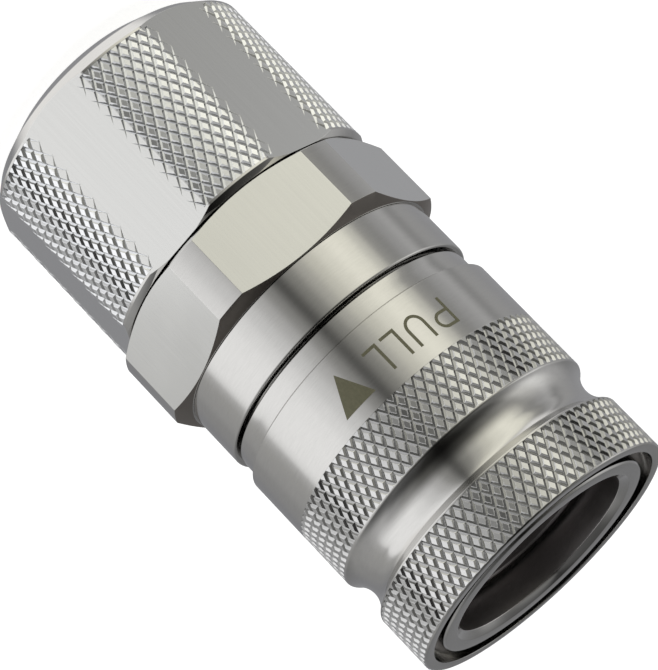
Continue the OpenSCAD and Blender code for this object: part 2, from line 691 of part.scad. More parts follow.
compression_nut();
hex_adapter();
body_seal();
socket_body();
valve_stem();
stem_spider();
stem_nut();
stem_seal();
valve_guide();
valve_sleeve();
face_seal();
valve_sleeve_seal();
valve_spring();
ball_keeper();
keeper_spring();
locking_ball(1);  // locking_ball_1
locking_ball(2);  // locking_ball_2
locking_ball(3);  // locking_ball_3
locking_ball(4);  // locking_ball_4
locking_ball(5);  // locking_ball_5
locking_ball(6);  // locking_ball_6
locking_ball(7);  // locking_ball_7
locking_ball(8);  // locking_ball_8
release_sleeve();
sleeve_spring();
retaining_ring();
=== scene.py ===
import math

import bmesh
import bpy
from bpy.props import FloatProperty, FloatVectorProperty, IntProperty, PointerProperty
from mathutils import Matrix, Quaternion, Vector


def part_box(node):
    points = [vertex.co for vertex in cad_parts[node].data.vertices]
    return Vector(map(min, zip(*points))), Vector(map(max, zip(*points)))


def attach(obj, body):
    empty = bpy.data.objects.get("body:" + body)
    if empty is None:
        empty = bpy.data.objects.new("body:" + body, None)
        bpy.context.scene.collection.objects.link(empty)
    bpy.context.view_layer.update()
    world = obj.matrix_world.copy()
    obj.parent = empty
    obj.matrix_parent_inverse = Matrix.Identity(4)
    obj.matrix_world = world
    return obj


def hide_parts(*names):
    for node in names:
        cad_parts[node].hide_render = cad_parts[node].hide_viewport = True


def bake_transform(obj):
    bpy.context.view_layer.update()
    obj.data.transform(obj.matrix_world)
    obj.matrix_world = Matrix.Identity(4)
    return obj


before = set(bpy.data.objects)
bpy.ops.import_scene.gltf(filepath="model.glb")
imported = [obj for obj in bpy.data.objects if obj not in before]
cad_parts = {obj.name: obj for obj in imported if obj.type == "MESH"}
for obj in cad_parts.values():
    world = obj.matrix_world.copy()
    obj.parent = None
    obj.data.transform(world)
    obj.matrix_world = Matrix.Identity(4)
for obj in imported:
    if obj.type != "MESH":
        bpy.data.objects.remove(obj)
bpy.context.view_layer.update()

bl_info = {
    "name": "Liquid cooling quick coupling",
    "version": (1, 0, 0),
    "blender": (4, 5, 0),
    "location": "3D View > Sidebar > Coupling",
    "description": "Dresses the socket half of a quick coupling with fine turned, "
                   "knurled and milled steel pieces",
    "category": "Object",
}

MM = 0.001

# Where the packed model has its main pieces, as (lowest corner, highest corner) in metres
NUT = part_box("compression_nut")
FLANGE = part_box("hex_adapter")
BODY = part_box("socket_body")
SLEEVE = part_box("release_sleeve")
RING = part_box("retaining_ring")
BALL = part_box("locking_ball_1")
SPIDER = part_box("stem_spider")
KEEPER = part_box("ball_keeper")


# ---- Settings a user would change ----

def length(name, description, default):
    """A length in metres, shown in the panel's units."""
    return FloatProperty(name=name, description=description, default=default, min=0.0,
                         precision=5, unit="LENGTH")


def angle(name, description, degrees):
    return FloatProperty(name=name, description=description, default=math.radians(degrees),
                         subtype="ANGLE")


def linear(hex_colour):
    """Turns an sRGB hex colour such as "#C8C8C4" into linear red, green and blue."""
    channels = [int(hex_colour[i:i + 2], 16) / 255 for i in (1, 3, 5)]
    return [c / 12.92 if c <= 0.04045 else ((c + 0.055) / 1.055) ** 2.4 for c in channels]


def colour(name, description, hex_colour):
    return FloatVectorProperty(name=name, description=description, size=3, subtype="COLOR",
                               default=linear(hex_colour), min=0.0, max=1.0)


class CouplingKnurl(bpy.types.PropertyGroup):
    """Sizes of the diamond knurl on the sleeve and on the nut"""
    sleeve_count: IntProperty(name="Ridges on sleeve", min=20, default=82,
                              description="Diamonds round the release sleeve")
    nut_count: IntProperty(name="Ridges on nut", min=20, default=84,
                           description="Diamonds round the compression nut")
    lead: length("Diamond length", "Length of one diamond along the axis", 1.6 * MM)
    depth: length("Groove depth", "Depth of the knurl's V grooves", 0.225 * MM)
    land: FloatProperty(name="Flat share", min=0.2, max=0.9, default=0.52,
                        description="Share of the pitch that is left as each diamond's flat top")
    bevel: length("Top bevel", "Height of the broken edge round each flat top", 0.025 * MM)
    bevel_share: FloatProperty(name="Bevel share", min=0.0, max=0.2, default=0.07,
                               description="Share of the pitch that the broken edge takes up")


class CouplingSleeve(bpy.types.PropertyGroup):
    """Sizes of the release sleeve"""
    rear_gap: length("Rear gap", "How far the rear edge stands in front of the solid's", 0.35 * MM)
    collar: length("Rear collar", "Diameter of the collar on the rear end", 22.9 * MM)
    collar_length: length("Collar length", "Length of the collar on the rear end", 2.03 * MM)
    step_length: length("Step relief", "Length of the relief at the foot of the step", 0.26 * MM)
    step_depth: length("Step relief depth", "Depth of the relief at the foot of the step",
                       0.08 * MM)
    smooth_length: length("Smooth band", "Length of the smooth band that is marked", 5.57 * MM)
    rear_knurl: length("Rear knurl", "Length of the rear knurl band", 4.85 * MM)
    front_knurl: length("Front knurl", "Length of the front knurl band", 4.7 * MM)
    groove_width: length("Groove width", "Width of the finger groove", 4.2 * MM)
    groove_depth: length("Groove depth", "Depth of the finger groove", 0.97 * MM)
    groove_edge: length("Groove edge", "Radius of the finger groove's edges", 0.25 * MM)
    lip_bore: length("Lip bore", "Inside diameter of the front lip", 22.1 * MM)
    lip_depth: length("Lip depth", "Depth of the recess in the front lip", 2.5 * MM)
    chamber: length("Spring chamber", "Inside diameter of the rear chamber", 21.9 * MM)
    land_radius: length("Land radius", "Inside radius of the land over the balls", 10.05 * MM)
    land_length: length("Land length", "Length of the land over the balls", 2.9 * MM)
    ball_room: length("Ball room", "Inside radius of the room that the balls move out to",
                      10.85 * MM)


class CouplingNut(bpy.types.PropertyGroup):
    """Sizes of the compression nut"""
    diameter: length("Diameter", "Diameter over the knurl", 25 * MM)
    flats: length("Across flats", "Distance across the spanner flats", 24 * MM)
    turn: angle("Turned by", "Angle of a corner of the nut from the X axis", 28.5)
    end_diameter: length("Rear face", "Diameter of the flat rear end", 17.8 * MM)
    cone_length: length("Rear cone", "Length of the cone on the rear end", 1.35 * MM)
    rear_chamfer: length("Rear chamfer", "Chamfer between cone and knurl", 1.3 * MM)
    front_chamfer: length("Front chamfer", "Chamfer at the front end", 0.4 * MM)
    smooth_land: length("Smooth land", "Smooth band left beside the knurl", 0.2 * MM)
    reach: length("Front reach", "How far the front end stands in front of the solid's",
                  0.08 * MM)
    tube_hole: length("Tube hole", "Diameter of the hole for the tube", 16.4 * MM)
    thread: length("Thread bore", "Diameter of the threaded bore", 20.2 * MM)


class CouplingBody(bpy.types.PropertyGroup):
    """Sizes of the hexagon flange and of the socket body"""
    flats: length("Across flats", "Distance across the flange's flats", 24 * MM)
    corner: length("Over corners", "Diameter over the turned corners", 26.3 * MM)
    face: length("Face diameter", "Diameter of the flange's round faces", 23.9 * MM)
    flange: length("Flange length", "Length of the hexagon flange", 7.1 * MM)
    flange_reach: length("Flange reach", "How far the flange stands behind the solid's",
                         0.06 * MM)
    shoulder: length("Shoulder diameter", "Diameter of the shoulder behind the sleeve",
                     23.6 * MM)
    shoulder_length: length("Shoulder length", "Length of the shoulder", 4.72 * MM)
    shoulder_round: length("Shoulder edge", "Radius of the shoulder's front edge", 0.2 * MM)
    shoulder_recess: length("Shoulder recess", "Depth of the recess in the shoulder's face",
                            0.32 * MM)
    nose: length("Nose diameter", "Diameter that the sleeve slides on", 20 * MM)
    bore: length("Bore", "Diameter of the bore that the plug enters", 16.2 * MM)
    mouth: length("Mouth", "Diameter of the mouth on the face", 17.4 * MM)
    mouth_depth: length("Mouth depth", "Depth of the mouth's chamfer", 0.45 * MM)
    relief: length("Relief", "Diameter of the groove behind the mouth", 17 * MM)
    thread: length("Thread", "Diameter of the collar's thread", 20 * MM)
    barb: length("Barb", "Inside diameter of the tube that the barb takes", 10 * MM)


class CouplingFinish(bpy.types.PropertyGroup):
    """Colours and surface of the materials"""
    turned: colour("Turned steel", "Colour of the polished outside", "#D3D2D0")
    knurl: colour("Knurl", "Colour of the knurl, with its burnished crests", "#D6D6D6")
    burnished: colour("Nut knurl", "Colour of the nut's burnished knurl", "#EFF0F2")
    milled: colour("Milled flats", "Colour of the spanner flats", "#F0F0EE")
    inner: colour("Inner steel", "Colour of the satin steel inside", "#A8A4A4")
    chamfer: colour("Chamfer", "Colour of the hexagon's satin chamfer", "#9C9690")
    ball: colour("Balls", "Colour of the ground balls", "#C6C8CA")
    wire: colour("Spring wire", "Colour of the springs", "#8A8A88")
    rubber: colour("Seal rubber", "Colour of the seals", "#1B1B1C")
    mark: colour("Marks", "Colour of the laser marks", "#85836C")
    roughness: FloatProperty(name="Polish", min=0.02, max=1.0, default=0.1,
                             description="Roughness of the polished outside")
    lines: length("Turning lines", "Spacing of the fine lines left by the lathe", 0.08 * MM)


class CouplingStudio(bpy.types.PropertyGroup):
    """Light, floor and camera"""
    azimuth: angle("Camera azimuth", "Direction of the camera round the axis, from -Y", 13.3)
    distance: length("Camera distance", "Distance of the camera from its aim", 273.1 * MM)
    pitch: angle("Camera height", "Angle of the camera above the horizon", 17.75)
    roll: angle("Camera roll", "How far the camera is rolled", 136.06)
    aim: length("Aim height", "Height on the axis that the camera looks at", 27.34 * MM)
    lens: FloatProperty(name="Focal length", default=194.5, min=10.0, unit="CAMERA",
                        description="Focal length on a 36 mm sensor")
    power: FloatProperty(name="Top light", default=3.0, min=0.0, unit="POWER",
                         description="Power of the soft lamp above the coupling")


# ---- Meshes ----

def arc(centre, radius, start, end, steps):
    """Points on an arc in the profile plane; angles in radians."""
    return [(centre[0] + radius * math.cos(start + (end - start) * i / steps),
             centre[1] + radius * math.sin(start + (end - start) * i / steps))
            for i in range(steps + 1)]


def softened(corners, steps=4):
    """Rounds each corner (r, z, radius) of a closed profile; a corner (r, z) stays sharp."""
    points = []
    for i, corner in enumerate(corners):
        here = Vector(corner[:2])
        radius = corner[2] if len(corner) > 2 else 0
        back = Vector(corners[i - 1][:2]) - here
        ahead = Vector(corners[(i + 1) % len(corners)][:2]) - here
        if not radius or min(back.length, ahead.length) < 1e-7:
            points.append(tuple(here))
            continue
        half = back.angle(ahead) / 2
        if half > math.radians(88):
            points.append(tuple(here))
            continue
        reach = min(radius / math.tan(half), 0.45 * min(back.length, ahead.length))
        radius = reach * math.tan(half)
        inward = (back.normalized() + ahead.normalized()).normalized()
        centre = here + inward * radius / math.sin(half)
        first = here + back.normalized() * reach - centre
        last = here + ahead.normalized() * reach - centre
        turn = first.angle_signed(last)
        for k in range(steps + 1):
            a = -turn * k / steps
            points.append((centre.x + first.x * math.cos(a) - first.y * math.sin(a),
                           centre.y + first.x * math.sin(a) + first.y * math.cos(a)))
    return points


def turned(profile, columns=256):
    """A closed profile of (r, z) points turned round the axis, as a bmesh."""
    bm = bmesh.new()
    rings = []
    for c in range(columns):
        a = 2 * math.pi * c / columns
        rings.append([bm.verts.new((r * math.cos(a), r * math.sin(a), z)) for r, z in profile])
    count = len(profile)
    for c, ring in enumerate(rings):
        after = rings[(c + 1) % columns]
        for k in range(count):
            bm.faces.new((ring[k], after[k], after[(k + 1) % count], ring[(k + 1) % count]))
    bmesh.ops.recalc_face_normals(bm, faces=bm.faces)
    return bm


def knurled(radius, low, high, count, knurl, inside):
    """A knurled ring from low to high: diamonds with flat tops and V grooves between them."""
    bm = bmesh.new()
    pitch = 2 * math.pi / count
    rows = math.ceil((high - low) / (knurl.lead / 2)) + 2
    middle = (low + high) / 2
    lower = radius - knurl.bevel
    rings = ((1.0, radius - knurl.depth), (knurl.land + knurl.bevel_share, lower),
             (knurl.land, radius))
    for j in range(-(rows // 2) - 1, rows // 2 + 2):
        z = middle + j * knurl.lead / 2
        for i in range(count):
            a = (i + (j % 2) / 2) * pitch
            loops = []
            for share, r in rings:
                reach, rise = share * pitch / 2, share * knurl.lead / 2
                loops.append([bm.verts.new((r * math.cos(b), r * math.sin(b), h)) for b, h in (
                    (a + reach, z), (a, z + rise), (a - reach, z), (a, z - rise))])
            for outer, inner in zip(loops, loops[1:]):
                for k in range(4):
                    n = (k + 1) % 4
                    bm.faces.new((outer[k], outer[n], inner[n], inner[k]))
            bm.faces.new(loops[-1])
    bmesh.ops.remove_doubles(bm, verts=bm.verts, dist=1e-7)
    for height, normal in ((low, (0, 0, -1)), (high, (0, 0, 1))):
        everything = bm.verts[:] + bm.edges[:] + bm.faces[:]
        bmesh.ops.bisect_plane(bm, geom=everything, dist=1e-7, plane_co=(0, 0, height),
                               plane_no=normal, clear_outer=True)
    bmesh.ops.remove_doubles(bm, verts=bm.verts, dist=1e-6)
    rim = [e for e in bm.edges if e.is_boundary]
    grown = bmesh.ops.extrude_edge_only(bm, edges=rim)["geom"]
    for v in (g for g in grown if isinstance(g, bmesh.types.BMVert)):
        flat = Vector((v.co.x, v.co.y)).normalized() * inside
        v.co.x, v.co.y = flat
    rim = [e for e in bm.edges if e.is_boundary]
    bmesh.ops.bridge_loops(bm, edges=rim)
    bmesh.ops.recalc_face_normals(bm, faces=bm.faces)
    return bm


def prism(flats, low, high, turn, sides=6):
    """A hexagonal prism on the axis with a corner at the given angle, as a bmesh."""
    bm = bmesh.new()
    reach = flats / 2 / math.cos(math.pi / sides)
    ends = [[bm.verts.new((reach * math.cos(turn + 2 * math.pi * k / sides),
                           reach * math.sin(turn + 2 * math.pi * k / sides), z))
             for k in range(sides)] for z in (low, high)]
    bm.faces.new(ends[0])
    bm.faces.new(ends[1])
    for k in range(sides):
        n = (k + 1) % sides
        bm.faces.new((ends[0][k], ends[0][n], ends[1][n], ends[1][k]))
    bmesh.ops.recalc_face_normals(bm, faces=bm.faces)
    return bm


def rod(start, end, radius, sides=48):
    """A round rod from start to end, as a bmesh."""
    bm = bmesh.new()
    axis = Vector(end) - Vector(start)
    place = (Matrix.Translation((Vector(start) + Vector(end)) / 2)
             @ axis.to_track_quat("Z", "Y").to_matrix().to_4x4())
    bmesh.ops.create_cone(bm, cap_ends=True, segments=sides, radius1=radius, radius2=radius,
                          depth=axis.length, matrix=place)
    return bm


def as_object(bm, name):
    mesh = bpy.data.meshes.new(name)
    bm.to_mesh(mesh)
    bm.free()
    made = bpy.data.objects.new(name, mesh)
    bpy.context.scene.collection.objects.link(made)
    return made


def combined(blank, tool, operation):
    """Cuts or joins two solid objects, keeps the result in the first and removes the second."""
    change = blank.modifiers.new(operation, "BOOLEAN")
    change.operation = operation
    change.object = tool
    change.solver = "MANIFOLD"
    bpy.context.view_layer.update()
    result = bpy.data.meshes.new_from_object(
        blank.evaluated_get(bpy.context.evaluated_depsgraph_get()))
    if not result.polygons:
        raise RuntimeError(f"{operation} left nothing of {blank.name}")
    blank.modifiers.clear()
    blank.data = result
    bpy.data.objects.remove(tool)
    return blank


def finished(piece, body, replaced, materials, sharp=24):
    """Shades a piece, gives it its materials, and fixes it to its body."""
    mesh = piece.data
    while len(mesh.materials) < len(materials):
        mesh.materials.append(None)
    for place, material in enumerate(materials):
        mesh.materials[place] = material
    mesh.shade_smooth()
    mesh.set_sharp_from_angle(angle=math.radians(sharp))
    even = piece.modifiers.new("Even shading", "WEIGHTED_NORMAL")
    even.keep_sharp = True
    even.weight = 80
    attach(piece, body)
    if replaced:
        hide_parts(*replaced)
    return piece


def mark_flats(piece, distance, turn, sides=6):
    """Gives the second material to the faces that lie on a spanner flat."""
    for face in piece.data.polygons:
        n, c = face.normal, face.center
        face.material_index = 0
        if abs(n.z) < 0.02:
            step = (math.atan2(n.y, n.x) - turn) / (2 * math.pi / sides) - 0.5
            away = c.x * n.x + c.y * n.y
            if abs(step - round(step)) < 0.01 and abs(away - distance) < 0.004 * MM:
                face.material_index = 1


# ---- Materials ----

def add(tree, kind, inputs=None, **settings):
    """Adds a node, sets its properties, and sets or links its inputs."""
    made = tree.nodes.new(kind)
    for key, value in settings.items():
        setattr(made, key, value)
    for key, value in (inputs or {}).items():
        if isinstance(value, bpy.types.NodeSocket):
            tree.links.new(value, made.inputs[key])
        else:
            made.inputs[key].default_value = value
    return made


def new_material(name):
    material = bpy.data.materials.new(name)
    material.use_nodes = True
    material.node_tree.nodes.clear()
    return material, material.node_tree


def closed(tree, surface):
    add(tree, "ShaderNodeOutputMaterial", {"Surface": surface})


def turned_steel(name, tint, roughness, spacing, depth, anisotropy=0.5, edge=0.05 * MM):
    """Stainless steel bar, turned on a lathe and polished. The lathe leaves fine rings round
    the axis, so reflections spread along the axis more than round it, and edges are broken."""
    material, tree = new_material(name)
    place = add(tree, "ShaderNodeTexCoord").outputs["Object"]
    split = add(tree, "ShaderNodeSeparateXYZ", {0: place})
    flat = add(tree, "ShaderNodeCombineXYZ", {0: split.outputs[0], 1: split.outputs[1]})
    radius = add(tree, "ShaderNodeVectorMath", {0: flat.outputs[0]}, operation="LENGTH")
    along = add(tree, "ShaderNodeMath", {0: split.outputs[2], 1: radius.outputs["Value"]},
                operation="ADD")
    # Streaks: one ring every "spacing" along the profile, and 1 mm long round the axis
    rings = add(tree, "ShaderNodeMath", {0: along.outputs[0], 1: 1 / spacing},
                operation="MULTIPLY")
    streak = 1 * MM
    round_x = add(tree, "ShaderNodeMath", {0: split.outputs[0], 1: 1 / streak},
                  operation="MULTIPLY")
    round_y = add(tree, "ShaderNodeMath", {0: split.outputs[1], 1: 1 / streak},
                  operation="MULTIPLY")
    streak_at = add(tree, "ShaderNodeCombineXYZ", {0: round_x.outputs[0], 1: round_y.outputs[0],
                                                   2: rings.outputs[0]})
    streaks = add(tree, "ShaderNodeTexNoise", {"Vector": streak_at.outputs[0], "Scale": 1.0,
                                               "Detail": 2.0, "Roughness": 0.6})
    # Handling marks: soft cloudy areas about 5 mm across that are a little less bright
    cloud = add(tree, "ShaderNodeTexNoise", {"Vector": place, "Scale": 1 / (5 * MM),
                                             "Detail": 3.0, "Roughness": 0.55})
    worn = add(tree, "ShaderNodeMapRange", {"Value": cloud.outputs["Fac"], "From Min": 0.35,
                                            "From Max": 0.7, "To Min": roughness * 0.88,
                                            "To Max": roughness * 1.2})
    rough = add(tree, "ShaderNodeMath", {0: streaks.outputs["Fac"], 1: roughness * 0.3,
                                         2: worn.outputs["Result"]}, operation="MULTIPLY_ADD")
    tone = add(tree, "ShaderNodeMapRange", {"Value": streaks.outputs["Fac"], "From Min": 0.3,
                                            "From Max": 0.7, "To Min": 0.97, "To Max": 1.02})
    shade = add(tree, "ShaderNodeVectorMath", {0: (*tint, ), "Scale": tone.outputs["Result"]},
                operation="SCALE")
    soft = add(tree, "ShaderNodeBevel", {"Radius": edge}, samples=4)
    bump = add(tree, "ShaderNodeBump", {"Strength": 0.35, "Distance": depth,
                                        "Height": streaks.outputs["Fac"],
                                        "Normal": soft.outputs["Normal"]})
    grain = add(tree, "ShaderNodeTangent", direction_type="RADIAL", axis="Z")
    shader = add(tree, "ShaderNodeBsdfPrincipled", {
        "Base Color": shade.outputs["Vector"], "Metallic": 1.0, "Anisotropic": anisotropy,
        "Roughness": rough.outputs[0], "Normal": bump.outputs["Normal"],
        "Tangent": grain.outputs["Tangent"]})
    closed(tree, shader.outputs[0])
    return material


def milled_steel(name, tint, roughness):
    """Spanner flat cut with an end mill across the bar. It leaves fine straight lines along the
    axis, wider apart than a lathe's, so a flat looks soft and even with faint streaks."""
    material, tree = new_material(name)
    place = add(tree, "ShaderNodeTexCoord").outputs["Object"]
    # Mill lines 0.14 mm apart across the flat, 9 mm long along the axis
    streak_at = add(tree, "ShaderNodeVectorMath",
                    {0: place, 1: (1 / (0.14 * MM), 1 / (0.14 * MM), 1 / (9 * MM))},
                    operation="MULTIPLY")
    streaks = add(tree, "ShaderNodeTexNoise", {"Vector": streak_at.outputs[0], "Scale": 1.0,
                                               "Detail": 2.0, "Roughness": 0.5})
    cloud = add(tree, "ShaderNodeTexNoise", {"Vector": place, "Scale": 1 / (4 * MM),
                                             "Detail": 2.0})
    rough = add(tree, "ShaderNodeMapRange", {"Value": cloud.outputs["Fac"], "From Min": 0.3,
                                             "From Max": 0.7, "To Min": roughness * 0.85,
                                             "To Max": roughness * 1.25})
    tone = add(tree, "ShaderNodeMapRange", {"Value": streaks.outputs["Fac"], "From Min": 0.3,
                                            "From Max": 0.7, "To Min": 0.98, "To Max": 1.01})
    shade = add(tree, "ShaderNodeVectorMath", {0: (*tint, ), "Scale": tone.outputs["Result"]},
                operation="SCALE")
    soft = add(tree, "ShaderNodeBevel", {"Radius": 0.05 * MM}, samples=4)
    bump = add(tree, "ShaderNodeBump", {"Strength": 0.3, "Distance": 0.0008 * MM,
                                        "Height": streaks.outputs["Fac"],
                                        "Normal": soft.outputs["Normal"]})
    shader = add(tree, "ShaderNodeBsdfPrincipled", {
        "Base Color": shade.outputs["Vector"], "Metallic": 1.0,
        "Roughness": rough.outputs["Result"], "Normal": bump.outputs["Normal"]})
    closed(tree, shader.outputs[0])
    return material


def ground_steel(name, tint):
    """Hardened steel ball, ground and lapped: an even mirror with only a trace of haze."""
    material, tree = new_material(name)
    place = add(tree, "ShaderNodeTexCoord").outputs["Object"]
    haze = add(tree, "ShaderNodeTexNoise", {"Vector": place, "Scale": 1 / (0.4 * MM)})
    rough = add(tree, "ShaderNodeMapRange", {"Value": haze.outputs["Fac"], "To Min": 0.04,
                                             "To Max": 0.12})
    shader = add(tree, "ShaderNodeBsdfPrincipled", {
        "Base Color": (*tint, 1), "Metallic": 1.0, "Roughness": rough.outputs["Result"]})
    closed(tree, shader.outputs[0])
    return material


def drawn_wire(name, tint):
    """Stainless spring wire, pulled through a die: satin, with a few lengthwise scratches."""
    material, tree = new_material(name)
    place = add(tree, "ShaderNodeTexCoord").outputs["Object"]
    scratch_at = add(tree, "ShaderNodeVectorMath",
                     {0: place, 1: (1 / (2 * MM), 1 / (2 * MM), 1 / (0.05 * MM))},
                     operation="MULTIPLY")
    scratches = add(tree, "ShaderNodeTexNoise", {"Vector": scratch_at.outputs[0], "Scale": 1.0,
                                                 "Detail": 3.0})
    rough = add(tree, "ShaderNodeMapRange", {"Value": scratches.outputs["Fac"], "To Min": 0.2,
                                             "To Max": 0.45})
    bump = add(tree, "ShaderNodeBump", {"Strength": 0.3, "Distance": 0.004 * MM,
                                        "Height": scratches.outputs["Fac"]})
    shader = add(tree, "ShaderNodeBsdfPrincipled", {
        "Base Color": (*tint, 1), "Metallic": 1.0, "Roughness": rough.outputs["Result"],
        "Normal": bump.outputs["Normal"]})
    closed(tree, shader.outputs[0])
    return material


def moulded_rubber(name, tint):
    """EPDM rubber, moulded: near black, matt, with the mould's fine spark-eroded grain."""
    material, tree = new_material(name)
    place = add(tree, "ShaderNodeTexCoord").outputs["Object"]
    grain = add(tree, "ShaderNodeTexNoise", {"Vector": place, "Scale": 1 / (0.08 * MM),
                                             "Detail": 3.0})
    bloom = add(tree, "ShaderNodeTexNoise", {"Vector": place, "Scale": 1 / (3 * MM)})
    shade = add(tree, "ShaderNodeMapRange", {"Value": bloom.outputs["Fac"], "To Min": 0.75,
                                             "To Max": 1.4})
    dark = add(tree, "ShaderNodeVectorMath", {0: (*tint, ), "Scale": shade.outputs["Result"]},
               operation="SCALE")
    bump = add(tree, "ShaderNodeBump", {"Strength": 0.4, "Distance": 0.01 * MM,
                                        "Height": grain.outputs["Fac"]})
    shader = add(tree, "ShaderNodeBsdfPrincipled", {
        "Base Color": dark.outputs["Vector"], "Roughness": 0.55,
        "Normal": bump.outputs["Normal"]})
    closed(tree, shader.outputs[0])
    return material


def laser_oxide(name, tint):
    """Laser-annealed oxide: the beam's passes leave a flat olive layer with fine hatching."""
    material, tree = new_material(name)
    place = add(tree, "ShaderNodeTexCoord").outputs["Object"]
    split = add(tree, "ShaderNodeSeparateXYZ", {0: place})
    # Passes of the beam 0.05 mm apart, drawn at 0.1 mm so that they show
    passes = add(tree, "ShaderNodeMath", {0: split.outputs[2],
                                          1: 2 * math.pi / (0.1 * MM)}, operation="MULTIPLY")
    wave = add(tree, "ShaderNodeMath", {0: passes.outputs[0]}, operation="SINE")
    grain = add(tree, "ShaderNodeTexNoise", {"Vector": place, "Scale": 1 / (0.15 * MM),
                                             "Detail": 3.0})
    both = add(tree, "ShaderNodeMath", {0: wave.outputs[0], 1: 0.15,
                                        2: grain.outputs["Fac"]}, operation="MULTIPLY_ADD")
    tone = add(tree, "ShaderNodeMapRange", {"Value": both.outputs[0], "From Min": 0.3,
                                            "From Max": 0.7, "To Min": 0.85, "To Max": 1.12})
    shade = add(tree, "ShaderNodeVectorMath", {0: (*tint, ), "Scale": tone.outputs["Result"]},
                operation="SCALE")
    shader = add(tree, "ShaderNodeBsdfPrincipled", {
        "Base Color": shade.outputs["Vector"], "Metallic": 0.25, "Roughness": 0.5,
        "Specular IOR Level": 0.3})
    closed(tree, shader.outputs[0])
    return material


def finish(kind):
    """The material of that name, made on first use from the panel's colours."""
    look = bpy.context.scene.coupling_finish
    known = bpy.data.materials.get(kind)
    if known:
        return known
    # The five kinds that are turned_steel differ in how they were worked after the lathe: the
    # outside is polished, both knurls are rolled (the nut's is burnished brighter), and the
    # bore and the hexagon's chamfer are left satin, as the tool cut them
    makers = {
        "polished_bar": lambda: turned_steel(kind, look.turned, look.roughness, look.lines,
                                             0.0016 * MM),
        "knurled_bar": lambda: turned_steel(kind, look.knurl, look.roughness * 1.2,
                                            look.lines, 0.001 * MM, 0.1, 0.025 * MM),
        "burnished_knurl": lambda: turned_steel(kind, look.burnished, look.roughness * 1.2,
                                                look.lines, 0.001 * MM, 0.1, 0.025 * MM),
        "milled_flat": lambda: milled_steel(kind, look.milled, look.roughness * 1.1),
        "satin_bore": lambda: turned_steel(kind, look.inner, 0.3, 0.12 * MM, 0.004 * MM),
        "turned_chamfer": lambda: turned_steel(kind, look.chamfer, 0.32, look.lines,
                                               0.001 * MM),
        "ground_ball": lambda: ground_steel(kind, look.ball),
        "drawn_wire": lambda: drawn_wire(kind, look.wire),
        "moulded_seal": lambda: moulded_rubber(kind, look.rubber),
        "laser_oxide": lambda: laser_oxide(kind, look.mark),
    }
    return makers[kind]()


def dress(kind, *nodes):
    """Gives a material to pieces of the packed model whose shape is right."""
    for name in nodes:
        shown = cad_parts[name]
        if not shown.material_slots:
            shown.data.materials.append(None)
        for place in shown.material_slots:
            place.material = finish(kind)
        for face in shown.data.polygons:
            face.use_smooth = True


# ---- Pieces ----

class COUPLING_OT_release_sleeve(bpy.types.Operator):
    """Builds the knurled release sleeve with its finger groove"""
    bl_idname = "coupling.release_sleeve"
    bl_label = "Release sleeve"

    def execute(self, context):
        s, knurl = context.scene.coupling_sleeve, context.scene.coupling_knurl
        rear, lip = SLEEVE[0].z + s.rear_gap, SLEEVE[1].z
        outer, collar = SLEEVE[1].x, s.collar / 2
        broken = 0.03 * MM
        chamfer = 0.15 * MM
        step = rear + s.collar_length
        foot = step - s.step_length
        knurl1 = step + s.smooth_length
        groove = knurl1 + s.rear_knurl
        knurl2 = groove + s.groove_width
        end = lip - chamfer
        core = outer - knurl.depth - 0.03 * MM
        half = s.groove_width / 2
        floor_r = (half ** 2 + s.groove_depth ** 2) / 2 / s.groove_depth - s.groove_edge
        rise = floor_r - s.groove_depth
        turn = math.atan2(half, rise + s.groove_edge)
        middle = groove + half
        hollow = (arc((outer - s.groove_edge, middle - half), s.groove_edge, 0, turn, 10)
                  + arc((outer + rise, middle), floor_r, math.pi + turn, math.pi - turn, 30)
                  + arc((outer - s.groove_edge, middle + half), s.groove_edge, -turn, 0, 10))
        # The ramp that lets the balls out runs from the room beside them down to the land
        ball = (BALL[0].z + BALL[1].z) / 2
        ramp, land = ball + 0.56 * MM, ball - 2.37 * MM
        profile = softened(
            [(s.chamber / 2, rear), (collar, rear, 0.08 * MM), (collar, foot, 0.02 * MM),
             (collar - s.step_depth, foot), (collar - s.step_depth, step),
             (outer, step, broken), (outer, knurl1, broken), (core, knurl1), (core, groove)]
            + hollow
            + [(core, knurl2), (core, end), (outer, end, broken),
               (outer - chamfer, lip, 0.04 * MM), (s.lip_bore / 2, lip, 0.04 * MM),
               (s.lip_bore / 2, lip - s.lip_depth), (s.ball_room, lip - s.lip_depth),
               (s.ball_room, ramp), (s.land_radius, land),
               (s.land_radius, land - s.land_length), (s.chamber / 2, land - s.land_length)])
        bm = turned(profile)
        mesh = bpy.data.meshes.new("knurl")
        # The knurl's crests lie a hair inside the smooth band, and its ends are buried
        crest, bury, wall = outer - 0.006 * MM, 0.03 * MM, 0.4 * MM
        for low, high in ((knurl1, groove), (knurl2, end)):
            ring = knurled(crest, low - bury, high + bury, knurl.sleeve_count, knurl,
                           core - wall)
            for face in ring.faces:
                face.material_index = 1
            ring.to_mesh(mesh)
            ring.free()
            bm.from_mesh(mesh)
        bpy.data.meshes.remove(mesh)
        finished(as_object(bm, "knurled_release_sleeve"), "sleeve",
                 ["release_sleeve"], [finish("polished_bar"), finish("knurled_bar")])
        return {"FINISHED"}


